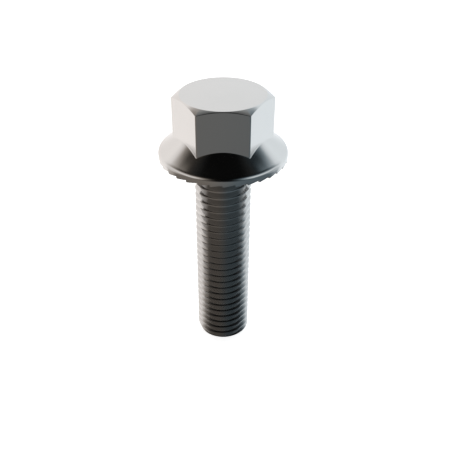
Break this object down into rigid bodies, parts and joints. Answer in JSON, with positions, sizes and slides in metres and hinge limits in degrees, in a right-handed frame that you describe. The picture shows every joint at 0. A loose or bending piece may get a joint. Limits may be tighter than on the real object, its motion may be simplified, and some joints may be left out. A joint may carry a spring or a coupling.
{
  "type": "hex flange bolt",
  "caption": "Steel hexagon flange bolt with a dished flange, ratchet teeth under it and a fully threaded shank, standing on its end.",
  "frame": {"origin": "centre of the flat end face of the shank, the lowest point of the bolt standing head up", "axes": "+Z along the axis from the threaded end to the head, X through two opposite corners of the hexagon, Y square to two flats"},
  "size_m": [0.0222, 0.0222, 0.0507],
  "materials": {
    "steel": "satin, bright plated"
  },
  "bodies": {
    "root": {"flange_bolt": "steel"}
  },
  "joints": []
}
